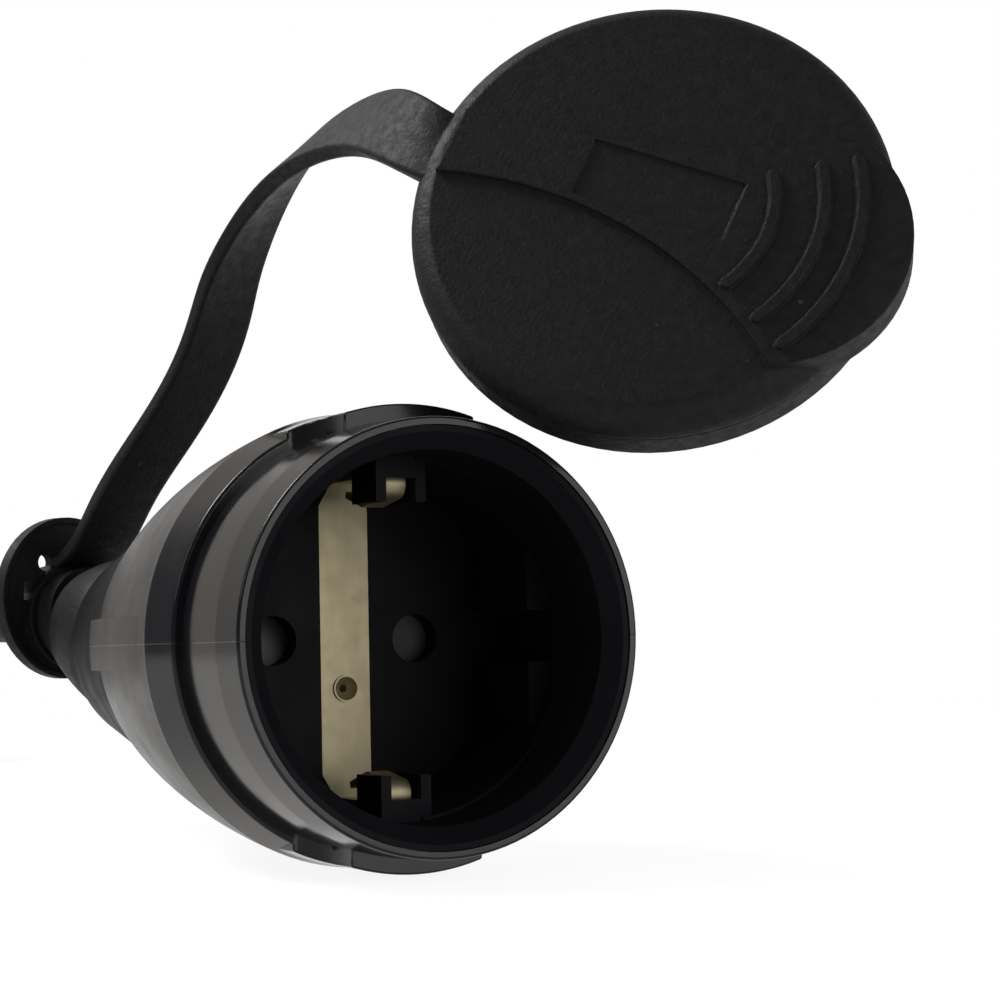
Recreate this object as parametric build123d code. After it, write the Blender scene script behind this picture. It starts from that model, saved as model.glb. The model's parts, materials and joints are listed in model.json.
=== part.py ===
from build123d import *
import math
import os

# Camping adapter lead: a side-earth trailing socket with a strapped rubber cap, a short
# rubber cable and a three-pin camping plug. Millimetres. The origin is the centre of the
# socket's mouth, the socket faces -Y, its body runs back along +Y, and +Z is up.

# Clearances
fit_gap = 0.1            # between pieces that are pushed together
run_gap = 0.08           # radial, between a turning piece and its pivot
free_gap = 0.3           # between pieces that must not touch

# Socket pattern
pin_pitch = 19.0
pin_hole_d = 6.1
pin_d = 4.8
pin_length = 19.0
entry_d = 42.8           # recess that takes the plug's body
entry_depth = 10.7
well_step = 0.4          # ledge between the recess and the well
well_depth = 17.5
floor_t = 3.0
lead_in = 1.9            # cone at the mouth
pad_flat = 17.6          # half the distance between the guide pads
pad_height = 21.4
pad_depth = 15.0         # pads stand this far off the floor
pad_slot = 6.3
earth_slot_w = 3.8
earth_slot_depth = 0.6
guard_t = 1.3            # hood over each earth clip
guard_reach = 16.0       # from the axis to the hood's inner edge
guard_depth = 17.2       # from the floor to the hood's front
guard_length = 7.0
guard_window = 18.8      # from the axis to the outer edge of the hood's window

# Socket insert
set_back = 0.2           # behind the housing's lip
insert_wall = 1.2
insert_flange_t = 3.0
lip_wall = 0.9
snap_height = 0.4
snap_width = 1.6
snap_place = 19.0

# Housing
barrel_wall = 2.3
barrel_taper = 0.3
taper_length = 6.0
flange_front = 16.9
flange_step = 2.5
flange_rise = 1.05       # along the flange, from front to back
flange_length = 6.6
core_room = 6.75         # from the terminals to the dome's end
dome_end_d = 41.6
dome_bulge = 0.9
housing_wall = 2.6
rear_wall = 3.4
edge_round = 0.45
lip_round = 0.35
rear_round = 1.4
ear_width = 16.6
ear_length = 8.5
ear_inset = 0.1          # ear's outer face under the flange's edge
ear_flare = 3.6          # hollow round where the ear meets the flange
rib_width = 6.6
rib_proud = 1.2          # at the rear, from flush at the dome's front
rib_front = 8.5          # from the dome's front
rib_rear = 0.6           # from the dome's end

# Gland
spigot_length = 10.0
spigot_wall = 3.5
core_bore_d = 17.0
seal_length = 4.4
washer_t = 1.5
nut_step = 0.5
nut_length = 30.7
nut_taper = 5.5
nut_wall = 3.0           # outside the thread
nut_rim = 1.3            # at the rear opening

# Bend sleeve and its bend
cable_d = 10.5
sleeve_gap = 0.25
sleeve_flange_t = 2.2
sleeve_length = 17.0     # out of the nut
sleeve_tip_d = 17.2
neck_d = 14.4
shoulder_d = 14.6
shoulder_length = 3.4
seat_d = 13.0
bead_d = 15.8
bead_length = 2.0
bend_radius = 60.0
bend_angle = 24.0
bend_roll = 28.0         # degrees up from -X
bend_lead = 13.0         # the bend starts this far inside the nut
collar_reach = 24.4      # along the neck, from the nut to the collar
slot_rows = (2.2, 4.5)   # along the neck, from the nut
slot_w = 0.9
slot_depth = 1.6
slot_arc = 125.0
slot_count = 2

# Shutter
pocket_depth = 3.0
pocket_d = 28.4
base_plate_t = 4.0
shutter_t = 2.4
lobe_d = 7.4
shutter_bar = 3.2
hub_d = 7.2
post_d = 2.4
bush_wall = 0.45
spring_wire = 0.5
spring_turns = 2
spring_pocket = 1.5
spring_d = 4.7           # at the middle of the wire

# Contacts and terminals
sleeve_wall = 0.85
contact_lip = 1.0
tower_wall = 1.4
tower_length = 8.0
contact_slot = 0.8
contact_slot_length = 7.0
terminal_w = 7.4
terminal_length = 7.0
wire_bore_d = 3.2
wire_bore_depth = 6.0
screw_d = 2.8
screw_head_d = 4.8
screw_head_t = 1.7
screw_slot = 0.7
base_screw_d = 2.2
base_screw_head_d = 3.8
base_screw_bite = 7.0
base_screw_angle = 18.6  # degrees round from the pads' middle

# Earth strip
strip_t = 0.8
strip_w = 6.5
strip_tip_w = 2.8
strip_half = 19.65
strip_bevel = 3.2
clip_z = 19.7            # clip arm's middle
clip_nose_r = 1.4
clip_front = 14.7        # from the mouth to the middle of the clip's nose
clip_arm = 4.8
rivet_z = -6.0
rivet_d = 2.4
rivet_head_d = 3.3
rivet_head_t = 0.3
rivet_tail_d = 4.0
rivet_bore_d = 1.0
rivet_dish_d = 2.9
rivet_dish = 1.1
rivet_boss_wall = 0.65
earth_plate_t = 1.2
earth_block_z = -10.0

# Cores
core_d = 3.4
copper_d = 2.2
core_lay_r = 2.2
core_straight = 0.6      # straight ends, in core diameters
core_bend = 0.85         # bend radius, in core diameters
core_angles = {"line": 30, "neutral": 150, "earth": 270}    # degrees round the cable and the plug's pins
jacket_back = 3.0        # cut jacket, behind the dome's end

# Rubber cap
cap_gap = 0.25
cap_wall = 3.05          # at the bead
cap_face_round = 2.7     # face edge inside the bead
cap_bead_drop = 3.8
cap_groove = 0.6
cap_skirt_inset = 0.2
cap_height = 7.9
cap_lead = 1.5
cap_roof = 2.2
cap_centre = (22.5, -9.4, 49.35)
cap_azimuth = -35.0      # degrees, the way the face looks
cap_elevation = 20.3
fan_angle = -22.0        # degrees round the face to the pull tab
fan_rise = 0.7
fan_root_w = 8.8
fan_mid_high = 7.6       # from the fan's axis to its edges, half way
fan_mid_low = 4.4
fan_end_w = 30.4
grip_radii = (14.4, 20.0, 24.3)
grip_half_angle = 31.0
grip_w = 1.3
grip_rise = 0.6
tab_reach = 2.5          # past the bead
panel_length = 18.8      # bare sunk panel on the fan
panel_w = 7.6
panel_place = (0.4, 1.7)
panel_depth = 0.35

# Strap and collar
strap_w = 9.4
strap_t = 2.3
strap_root_angle = 159.0
strap_round = 0.6
strap_sink = 1.8         # root inside the cap's rim
strap_drop = 1.9
foot_shift = 1.8         # strap's foot beside the collar's middle
foot_rise = 8.3          # and above its bore
collar_d = 24.8
collar_t = 1.6
collar_offset = 2.8      # disc's middle above its bore
collar_rim_w = 0.9
collar_rim_rise = 0.5
collar_boss_d = 16.0
collar_boss_rise = 1.5
collar_hole_d = 2.6
collar_hole_place = (5.4, -4.2)      # above and beside the disc's middle
collar_slot_place = (1.1, -7.7)
collar_slot_w = 1.1
collar_slot_length = 2.8
strap_route = (          # middle of the strap and its roll from upright, degrees
    (3.2, 15.2, 61.1, 24.0),
    (3.6, 27.1, 64.4, 36.0),
    (3.2, 40.2, 64.8, 45.0),
    (2.4, 57.0, 60.6, 54.0),
    (1.4, 69.6, 51.0, 67.0),
    (0.0, 81.0, 37.4, 81.0),
    (-4.4, 92.6, 25.6, 86.0),
    (-5.3, 101.8, 19.4, 88.0),
    (-5.6, 108.3, 15.4, 89.0),
)

# Cable route, and the plug at its far end
first_run = 42.0         # from the neck's corner to the route's first point
bend_share = 0.45        # of a straight run, taken by the bend at its end
cable_route = ((-21.0, 178.0, 2.0), (-10.0, 228.0, -4.5))
plug_x = 10.0
plug_entry = 280.0       # where the cable comes into line with the plug
plug_tail = 322.0        # rear end of the plug's nut
plug_nut_length = 20.0
plug_nut_d = 27.0
plug_nut_tail_d = 21.0
plug_nut_lip = 3.0
plug_nut_flute = 5.0
plug_flute_out = 1.5     # flute's middle outside the nut
plug_nut_flutes = 12
plug_spigot_d = 21.0
plug_spigot_length = 13.0
plug_neck_length = 12.0
plug_neck_d = 28.0
plug_body_w = 50.0
plug_body_length = 42.0
plug_corner = 11.0
plug_seat_d = 42.2       # takes the pin carrier
plug_cavity_d = 36.0
plug_core_bore_d = 12.0
plug_seal_d = 16.0
plug_seal_length = 5.0
plug_jacket_in = 3.0     # jacket past the seal
shroud_flange_t = 4.0
shroud_bore_d = 38.6
shroud_wall = 2.4
shroud_length = 38.0
shroud_window_d = 33.0
key_w = 9.0
key_rise = 2.4
key_slot_w = 5.0
carrier_t = 9.0
plug_pin_circle = 17.8
plug_pin_d = 5.0
plug_earth_d = 6.0
plug_pin_out = 35.0
pin_collar_rim = 1.0
pin_collar_t = 2.0
pin_tail_d = 6.4
pin_tail_length = 9.0
pin_screw_d = 2.4
case_screw_d = 3.0
case_screw_head_d = 5.6
case_screw_bite = 14.0
case_screw_place = 18.2

# Sizes that follow from those above
ledge_y = set_back + entry_depth
floor_y = ledge_y + well_depth
floor_back = floor_y + floor_t
plate_front = floor_back + pocket_depth
plate_back = plate_front + base_plate_t
pin_x = pin_pitch / 2
contact_r = pin_d / 2 + sleeve_wall
contact_front = plate_front + contact_lip
terminal_front = floor_y + pin_length + sleeve_wall
terminal_back = terminal_front + terminal_length
entry_r = entry_d / 2
well_r = entry_r - well_step
insert_r = entry_r + insert_wall
bore_r = insert_r + fit_gap
barrel_r = bore_r + barrel_wall
lip_r = barrel_r - lip_wall
flange_r = barrel_r + flange_step
flange_front_r = flange_r - flange_rise
dome_start = flange_front + flange_length
dome_end = terminal_back + core_room
dome_end_r = dome_end_d / 2
jacket_end = dome_end + jacket_back
spigot_end = dome_end + spigot_length
nut_start = dome_end + free_gap
nut_end = nut_start + nut_length
nut_front_r = dome_end_r - nut_step
nut_rear_r = nut_front_r - nut_taper
nut_shoulder = spigot_end + fit_gap + sleeve_flange_t
thread_r = nut_front_r - nut_taper * (nut_shoulder - nut_start) / nut_length - nut_wall
spigot_r = thread_r - fit_gap
sleeve_root_r = nut_rear_r - nut_rim - fit_gap
bend_start = nut_end - bend_lead
cable_r = cable_d / 2
sleeve_bore_r = cable_r + sleeve_gap
cap_inner_r = barrel_r + cap_gap
cap_r = cap_inner_r + cap_wall
face_r = cap_r - cap_face_round
floor_z = -flange_r
plug_z = floor_z + plug_body_w / 2
plug_spigot_start = plug_tail + plug_nut_length - plug_spigot_length + free_gap
plug_neck_start = plug_tail + plug_nut_length + free_gap
plug_neck_end = plug_neck_start + plug_neck_length
plug_body_end = plug_neck_end + plug_body_length
carrier_start = plug_body_end - carrier_t
plug_jacket_end = plug_spigot_start + plug_seal_length + plug_jacket_in


def turned(points):
    """Solid turned about the socket's axis from (radius, y) points."""
    return revolve(make_face(Polyline(*points, close=True)), Axis.Y)


def ring(front, back, outer, inner):
    return turned([(inner, front), (outer, front), (outer, back), (inner, back)])


def rod(x, z, front, back, radius):
    """Cylinder along +Y."""
    return Pos(x, front, z) * Rot(-90, 0, 0) * Cylinder(
        radius, back - front, align=(Align.CENTER, Align.CENTER, Align.MIN))


def drum(plane, low, high, radius):
    """Cylinder on a plane, between two heights."""
    return plane * Pos(0, 0, low) * Cylinder(
        radius, high - low, align=(Align.CENTER, Align.CENTER, Align.MIN))


def block(x0, x1, y0, y1, z0, z1):
    return Pos((x0 + x1) / 2, (y0 + y1) / 2, (z0 + z1) / 2) * Box(x1 - x0, y1 - y0, z1 - z0)


def dome_edge(proud=0.0):
    """The dome's bulging outline, with its rear end moved outwards by proud."""
    start = Vector(flange_r, dome_start)
    end = Vector(dome_end_r + proud, dome_end)
    across = Vector(end.Y - start.Y, start.X - end.X).normalized()
    middle = (start + end) / 2 + across * dome_bulge
    return ThreePointArc(start, middle, end)


def rounded_corners(face, corners, radius):
    picked = [min(face.vertices(), key=lambda v: math.hypot(v.X - r, v.Y - y)) for r, y in corners]
    return fillet(picked, radius)


def housing():
    snap_y = set_back + snap_place
    cavity_end = dome_end - rear_wall
    cavity_r = dome_end_r - housing_wall
    barrel_back_r = barrel_r + barrel_taper
    front = Polyline(
        (lip_r, 0), (barrel_r, 0), (barrel_back_r, taper_length), (barrel_back_r, flange_front),
        (flange_front_r, flange_front), (flange_r, dome_start))
    seal_seat = spigot_end - seal_length - washer_t
    rear = Polyline(
        (dome_end_r, dome_end), (spigot_r, dome_end), (spigot_r, spigot_end),
        (spigot_r - spigot_wall, spigot_end), (spigot_r - spigot_wall, seal_seat),
        (core_bore_d / 2, seal_seat), (core_bore_d / 2, dome_end),
        (core_bore_d / 2 + rear_wall, cavity_end), (cavity_r, cavity_end),
        (bore_r, plate_back + base_screw_head_d), (bore_r, snap_y + snap_width + fit_gap),
        (bore_r + snap_height, snap_y + snap_width + fit_gap), (bore_r + snap_height, snap_y - fit_gap),
        (bore_r, snap_y - fit_gap), (bore_r, set_back + insert_flange_t + fit_gap),
        (lip_r, set_back + insert_flange_t + fit_gap), (lip_r, 0))
    profile = make_face([*front.edges(), dome_edge(), *rear.edges()])
    profile = rounded_corners(profile, [(barrel_r, 0)], lip_round)
    profile = rounded_corners(profile, [(flange_front_r, flange_front)], edge_round)
    profile = rounded_corners(profile, [(dome_end_r, dome_end)], rear_round)
    body = revolve(profile, Axis.Y)
    return body + ears() + side_ribs()


def ears():
    """Forward lugs of the flange, above and below, that stop the cap's skirt."""
    front = flange_front - ear_length
    back = flange_front + edge_round
    half = ear_width / 2
    root = half + ear_flare
    hollow = ear_flare * (1 - math.sqrt(0.5))
    flare = ThreePointArc(
        (half, flange_front - ear_flare), (half + hollow, flange_front - hollow), (root, flange_front))
    rest = Polyline((root, flange_front), (root, back), (0, back), (0, front), (half, front), flare @ 0)
    plan = make_face([flare, *rest.edges()])
    lugs = extrude(plan + mirror(plan, Plane.YZ), flange_r, both=True)
    return lugs & ring(front, back, flange_front_r - ear_inset, barrel_r - barrel_wall / 2)


def side_ribs():
    """Grip ribs along both sides of the dome, on the mould's parting line."""
    start = (flange_r - housing_wall, dome_start)
    end = (dome_end_r - housing_wall / 2, dome_end)
    outer = dome_edge(rib_proud)
    sides = [Line(outer @ 1, end), Line(end, start), Line(start, outer @ 0)]
    profile = make_face([outer, *sides])
    half = rib_width / 2
    reach = flange_r + rib_proud + dome_bulge
    return revolve(profile, Axis.Y) & block(
        -reach, reach, dome_start + rib_front, dome_end - rib_rear, -half, half)


def socket_insert():
    flange_r_in = lip_r - fit_gap
    snap_y = set_back + snap_place
    flange_back = set_back + insert_flange_t
    mouth_r = entry_r + lead_in
    body = turned([
        (mouth_r, set_back), (flange_r_in, set_back), (flange_r_in, flange_back),
        (insert_r, flange_back), (insert_r, snap_y), (insert_r + snap_height, snap_y + snap_width),
        (insert_r, snap_y + snap_width), (insert_r, floor_back), (0, floor_back), (0, floor_y),
        (well_r, floor_y), (well_r, ledge_y), (entry_r, ledge_y), (entry_r, set_back + lead_in)])
    body += guide_pads()
    slot_r = well_r + earth_slot_depth
    slot = block(-earth_slot_w / 2, earth_slot_w / 2, ledge_y, floor_y, -slot_r, slot_r)
    body -= slot - rod(0, 0, ledge_y, floor_y, well_r - earth_slot_depth)
    body += clip_guards()
    body -= Pos(0, floor_y + strip_t, 0) * Rot(90, 0, 0) * extrude(offset(strip_outline(), fit_gap), strip_t)
    for side in (-1, 1):
        body -= rod(side * pin_x, 0, floor_y, floor_back, pin_hole_d / 2)
    body -= rod(0, rivet_z, floor_y, floor_back, rivet_d / 2 + fit_gap)
    for x, z in base_screw_places():
        body -= rod(x, z, floor_back - base_screw_bite, floor_back, base_screw_d / 2)
    return body


def guide_pads():
    """Flat pads at the well's sides, each parted by a slot."""
    back = floor_y + floor_t / 2
    half = pad_height / 2
    disc = rod(0, 0, floor_y - pad_depth, back, well_r + insert_wall / 2)
    pads = disc - block(-pad_flat, pad_flat, floor_y - pad_depth, back, -well_r, well_r)
    pads &= block(-insert_r, insert_r, floor_y - pad_depth, back, -half, half)
    return pads - block(-insert_r, insert_r, floor_y - pad_depth, floor_y, -pad_slot / 2, pad_slot / 2)


def clip_guards():
    """Hood over each earth clip's nose: a rib each side, and a bar across the front by the wall."""
    front = floor_y - guard_depth
    back = front + guard_length
    near = earth_slot_w / 2
    reach = near + guard_t
    hood = rod(0, 0, front, back, well_r + insert_wall / 2)
    hood &= block(-reach, reach, front, back, -insert_r, insert_r)
    hood -= block(-reach, reach, front, back, -guard_reach, guard_reach)
    hood -= block(-near, near, front, back, -guard_window, guard_window)
    return hood - block(-near, near, front + guard_t, back, -insert_r, insert_r)


def base_screw_places():
    radius = insert_r - base_screw_head_d / 2 - free_gap
    x = radius * math.cos(math.radians(base_screw_angle))
    z = radius * math.sin(math.radians(base_screw_angle))
    return [(x, z), (-x, -z)]


def contact_base():
    """Carrier behind the well: shutter pocket in front, contact towers behind."""
    body = rod(0, 0, floor_back, plate_back, insert_r)
    body -= rod(0, 0, floor_back, plate_front, pocket_d / 2)
    body += rod(0, 0, floor_back, plate_front, post_d / 2)
    boss_r = rivet_d / 2 + rivet_boss_wall
    body += rod(0, rivet_z, floor_back, plate_front, boss_r)
    for side in (-1, 1):
        body += rod(side * pin_x, 0, plate_front, plate_back + tower_length, contact_r + tower_wall)
    for side in (-1, 1):
        body -= rod(side * pin_x, 0, plate_front, contact_front, pin_d / 2 + free_gap)
        body -= rod(side * pin_x, 0, contact_front, plate_back + tower_length, contact_r + fit_gap)
    body -= rod(0, rivet_z, floor_back, plate_back, rivet_d / 2 + fit_gap)
    for x, z in base_screw_places():
        body -= rod(x, z, floor_back, plate_back, base_screw_d / 2 + fit_gap)
    return body


def shutter():
    """Two-lobed safety shutter that covers both pin holes and turns on the base's post."""
    front = floor_back + (pocket_depth - shutter_t) / 2
    back = front + shutter_t
    half = shutter_bar / 2
    body = rod(0, 0, front, back, hub_d / 2)
    for side in (-1, 1):
        lobe = rod(side * pin_x, 0, front, back, lobe_d / 2)
        lobe += block(min(0, side * pin_x), max(0, side * pin_x), front, back, -half, half)
        slope = math.degrees(math.atan2(shutter_t / 2, lobe_d))
        cutter = Pos(side * pin_x, front, side * lobe_d / 2) * Rot(side * slope, 0, 0) * Box(
            lobe_d, shutter_t, 2 * lobe_d, align=(Align.CENTER, Align.MAX, Align.CENTER))
        body += lobe - cutter
    body -= rod(0, 0, front, back, post_d / 2 + run_gap)
    pocket_in = post_d / 2 + run_gap + bush_wall
    body -= ring(back - spring_pocket, back, spring_d / 2 + spring_wire / 2 + free_gap, pocket_in)
    return body


def shutter_spring():
    """Torsion spring that turns the shutter back, in the hub's pocket round its post."""
    back = floor_back + (pocket_depth + shutter_t) / 2
    rise = spring_pocket - spring_wire - 2 * fit_gap
    coil = Helix(rise / spring_turns, rise, spring_d / 2)
    section = Plane(coil @ 0, z_dir=coil % 0) * RegularPolygon(spring_wire / 2, 6)
    spring = sweep(section, coil, is_frenet=True)
    return Pos(0, back - fit_gap - spring_wire / 2, 0) * Rot(90, 0, 0) * spring


def pin_contact(side):
    """Slit brass sleeve with its terminal block, in one piece."""
    x = side * pin_x
    half = terminal_w / 2
    body = rod(x, 0, contact_front, terminal_front, contact_r)
    body += block(x - half, x + half, terminal_front, terminal_back, -half, half)
    body -= rod(x, 0, contact_front, terminal_front - sleeve_wall, pin_d / 2)
    slit = contact_slot / 2
    slit_back = contact_front + contact_slot_length
    body -= block(x - contact_r, x + contact_r, contact_front, slit_back, -slit, slit)
    body -= rod(x, 0, terminal_back - wire_bore_depth, terminal_back, wire_bore_d / 2)
    return body - screw_hole(x, 0)


def screw_hole(x, z):
    middle = Plane((x, terminal_front + terminal_length / 2, z))
    return drum(middle, 0, terminal_w / 2, screw_d / 2 + fit_gap / 2)


def terminal_screw(x, z):
    low = z + copper_d / 2
    top = z + terminal_w / 2
    y = terminal_front + terminal_length / 2
    middle = Plane((x, y, 0))
    shank = drum(middle, low, top, screw_d / 2)
    head = drum(middle, top, top + screw_head_t, screw_head_d / 2)
    slot_floor = top + screw_head_t / 2
    slot = screw_slot / 2
    reach = screw_head_d / 2
    return shank + head - block(x - reach, x + reach, y - slot, y + slot, slot_floor, top + screw_head_t)


def terminal_screws():
    places = [(-pin_x, 0), (pin_x, 0), (0, earth_block_z)]
    return Compound([terminal_screw(x, z) for x, z in places])


def base_screws():
    screws = []
    for x, z in base_screw_places():
        shank = rod(x, z, floor_back - base_screw_bite, plate_back, base_screw_d / 2)
        head = rod(x, z, plate_back, plate_back + base_screw_head_d / 3, base_screw_head_d / 2)
        screws.append(shank + head)
    return Compound(screws)


def strip_outline():
    """Flat of the earth strip, with its ends bevelled down to the clips' width."""
    wide = strip_w / 2
    tip = strip_tip_w / 2
    end = clip_z + strip_t / 2
    outline = [(wide, strip_half - strip_bevel), (tip, strip_half), (tip, end)]
    outline += [(-x, z) for x, z in reversed(outline)]
    outline += [(-x, -z) for x, z in outline]
    return make_face(Polyline(*outline, close=True))


def earth_strip():
    """One bent strip: let into the well's floor, with a sprung clip up each side."""
    back = floor_y + strip_t
    body = Pos(0, back, 0) * Rot(90, 0, 0) * extrude(strip_outline(), strip_t)
    body -= rod(0, rivet_z, floor_y, back, rivet_d / 2 + fit_gap)
    nose = Vector(clip_front, clip_z)
    inner_z = clip_z - 2 * clip_nose_r
    bump = Vector(clip_front + clip_arm, inner_z - clip_nose_r / 2)
    path = [
        Line((back - strip_t / 2, clip_z), nose),
        ThreePointArc(nose, (clip_front - clip_nose_r, clip_z - clip_nose_r), (clip_front, inner_z)),
        Line((clip_front, inner_z), bump),
        Line(bump, (clip_front + 2 * clip_arm, inner_z + clip_nose_r / 2)),
    ]
    arm = extrude(Plane.YZ * trace(path, strip_t), strip_tip_w / 2, both=True)
    return body + arm + mirror(arm, Plane.XY)


def earth_rivet():
    """Rivet through the strip, with a dished head and a tail behind the earth plate."""
    head_front = floor_y - rivet_head_t
    tail_front = plate_back + earth_plate_t
    body = rod(0, rivet_z, head_front, tail_front, rivet_d / 2)
    body += rod(0, rivet_z, head_front, floor_y, rivet_head_d / 2)
    body += rod(0, rivet_z, tail_front, tail_front + rivet_head_t, rivet_tail_d / 2)
    dish = Pos(0, head_front, rivet_z) * Rot(-90, 0, 0) * Cone(
        rivet_dish_d / 2, rivet_bore_d / 2, rivet_dish, align=(Align.CENTER, Align.CENTER, Align.MIN))
    return body - dish - rod(0, rivet_z, head_front, floor_back, rivet_bore_d / 2)


def earth_terminal():
    """Plate under the rivet's tail, carried back to the earth terminal block."""
    half = terminal_w / 2
    low = earth_block_z - half
    body = block(-half, half, plate_back, plate_back + earth_plate_t, low, rivet_z + rivet_tail_d)
    body += block(-half, half, plate_back, terminal_front, low, low + earth_plate_t)
    body += block(-half, half, terminal_front, terminal_back, low, low + terminal_w)
    body -= rod(0, rivet_z, plate_back, plate_back + earth_plate_t, rivet_d / 2 + fit_gap)
    body -= rod(0, earth_block_z, terminal_back - wire_bore_depth, terminal_back, wire_bore_d / 2)
    return body - screw_hole(0, earth_block_z)


def laid_core(start, end, jacket, terminal):
    """Insulated core from the cable's cut jacket to a terminal, with its bared end."""
    (x0, z0), (x1, z1) = start, end
    ahead = math.copysign(1, terminal - jacket)
    straight = core_d * core_straight * ahead
    path = FilletPolyline(
        (x0, jacket, z0), (x0, jacket + straight, z0), (x1, terminal - straight, z1),
        (x1, terminal - free_gap * ahead, z1), radius=core_d * core_bend)
    jacket_tube = sweep(Plane(path @ 0, z_dir=path % 0) * Circle(core_d / 2), path)
    ends = sorted([terminal + (wire_bore_depth - fit_gap) * ahead, terminal - core_d / 2 * ahead])
    return jacket_tube + rod(x1, z1, *ends, copper_d / 2)


def core_lay(name):
    """Place of a core across the cable."""
    turn = math.radians(core_angles[name])
    return (core_lay_r * math.cos(turn), core_lay_r * math.sin(turn))


def gland_seal():
    front = spigot_end - seal_length - washer_t
    return ring(front, front + seal_length, spigot_r - spigot_wall - fit_gap, cable_r + fit_gap)


def gland_washer():
    return ring(spigot_end - washer_t, spigot_end, spigot_r - spigot_wall - fit_gap, cable_r + sleeve_gap)


def gland_nut():
    """Long tapered nut: threaded over the spigot, and narrow where the sleeve comes out."""
    hole_r = sleeve_root_r + fit_gap
    profile = make_face(Polyline(
        (thread_r, nut_start), (nut_front_r, nut_start), (nut_rear_r, nut_end),
        (hole_r, nut_end), (hole_r, nut_shoulder), (thread_r, nut_shoulder), close=True))
    profile = rounded_corners(profile, [(nut_rear_r, nut_end)], nut_rim / 2)
    return revolve(profile, Axis.Y)


def neck_plane(past):
    """Plane square across the neck at a distance past the nut, with its normal the cable's way out."""
    roll = math.radians(bend_roll)
    side = Vector(-math.cos(roll), 0, math.sin(roll))
    ahead = Vector(0, 1, 0)
    run = bend_radius * math.asin(bend_lead / bend_radius) + past
    turn = min(run / bend_radius, math.radians(bend_angle))
    beyond = run - bend_radius * turn
    way = ahead * math.cos(turn) + side * math.sin(turn)
    bent = ahead * math.sin(turn) + side * (1 - math.cos(turn))
    place = Vector(0, bend_start, 0) + bent * bend_radius + way * beyond
    return Plane(place, x_dir=Vector(1, 0, 0).cross(way), z_dir=way)


def collar_plane():
    """Plane of the collar's disc, which hangs upright on the rising neck."""
    neck = neck_plane(collar_reach)
    level = Vector(neck.z_dir.X, neck.z_dir.Y, 0)
    return Plane(neck.origin, x_dir=Vector(0, 0, 1), z_dir=level)


def bend_sleeve():
    """Rubber bend relief: flange in the nut, bent cone with slots, and the collar's seat."""
    tip_r = sleeve_tip_d / 2
    flange_front = nut_shoulder - sleeve_flange_t
    body = rod(0, 0, flange_front, nut_shoulder, spigot_r)
    body += rod(0, 0, flange_front, nut_end, sleeve_root_r)
    out = Plane((0, nut_end, 0), x_dir=(0, 0, 1), z_dir=(0, 1, 0))
    middle_r = (2 * sleeve_root_r + tip_r) / 3
    body += loft([
        out * Circle(sleeve_root_r),
        neck_plane(sleeve_length / 2) * Circle(middle_r),
        neck_plane(sleeve_length) * Circle(tip_r)])
    face = collar_t / 2
    shoulder = -face - collar_boss_rise - free_gap
    seat = collar_plane()
    neck_end = collar_reach + shoulder - shoulder_length / 2
    body += drum(neck_plane(sleeve_length), -neck_d / 4, neck_end - sleeve_length, neck_d / 2)
    body += drum(seat, shoulder - shoulder_length, shoulder, shoulder_d / 2)
    body += drum(seat, shoulder, face + free_gap, seat_d / 2)
    body += drum(seat, face + free_gap, face + free_gap + bead_length, bead_d / 2)
    for row in slot_rows:
        radius = sleeve_root_r + (middle_r - sleeve_root_r) * row / (sleeve_length / 2)
        body -= sleeve_slots(neck_plane(row), radius)
    return body - cable_bore(flange_front)


def bend_corner():
    """Corner that the cable's bend at the neck rounds off."""
    return Vector(0, bend_start + bend_radius * math.tan(math.radians(bend_angle) / 2), 0)


def cable_bore(start):
    """Clear way for the cable through the sleeve, round the bend and past the seat."""
    end = bend_corner() + neck_plane(collar_reach).z_dir * 2 * collar_reach
    path = FilletPolyline((0, start, 0), bend_corner(), end, radius=bend_radius)
    return sweep(Plane(path @ 0, z_dir=path % 0) * Circle(sleeve_bore_r), path)


def sleeve_slots(plane, radius):
    """One row of part-round slots above and below, with its bridges left at the sides."""
    slots = []
    outline = Plane.XZ * Pos(radius, 0) * Rectangle(2 * slot_depth, slot_w)
    one = revolve(outline, Axis.Z, slot_arc)
    for index in range(slot_count):
        slots.append(plane * Rot(0, 0, 360 / slot_count * index - slot_arc / 2) * one)
    return Compound(slots)


def cap_plane():
    """Plane of the cap's face, with its normal the way the face looks."""
    azimuth = math.radians(cap_azimuth)
    rise = math.radians(cap_elevation)
    look = Vector(math.sin(azimuth) * math.cos(rise), -math.cos(azimuth) * math.cos(rise), math.sin(rise))
    return Plane(Vector(*cap_centre), x_dir=Vector(0, 0, 1).cross(look), z_dir=look)


def cap_shell():
    """Cap with a flat face, a rounded bead, a groove and a short skirt."""
    skirt_r = cap_r - cap_skirt_inset
    groove_low = cap_bead_drop + cap_groove
    bead = TangentArc((cap_r, -cap_bead_drop), (face_r, 0), tangent=(0, 1))
    rest = Polyline(
        (face_r, 0), (0, 0), (0, -cap_roof), (cap_inner_r, -cap_roof), (cap_inner_r, cap_lead - cap_height),
        (cap_inner_r + cap_gap, -cap_height), (skirt_r, -cap_height), (skirt_r, -groove_low),
        (cap_r - cap_groove, -cap_bead_drop - cap_groove / 2), (cap_r, -cap_bead_drop))
    return revolve(Plane.XZ * make_face([bead, *rest.edges()]), Axis.Z)


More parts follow.
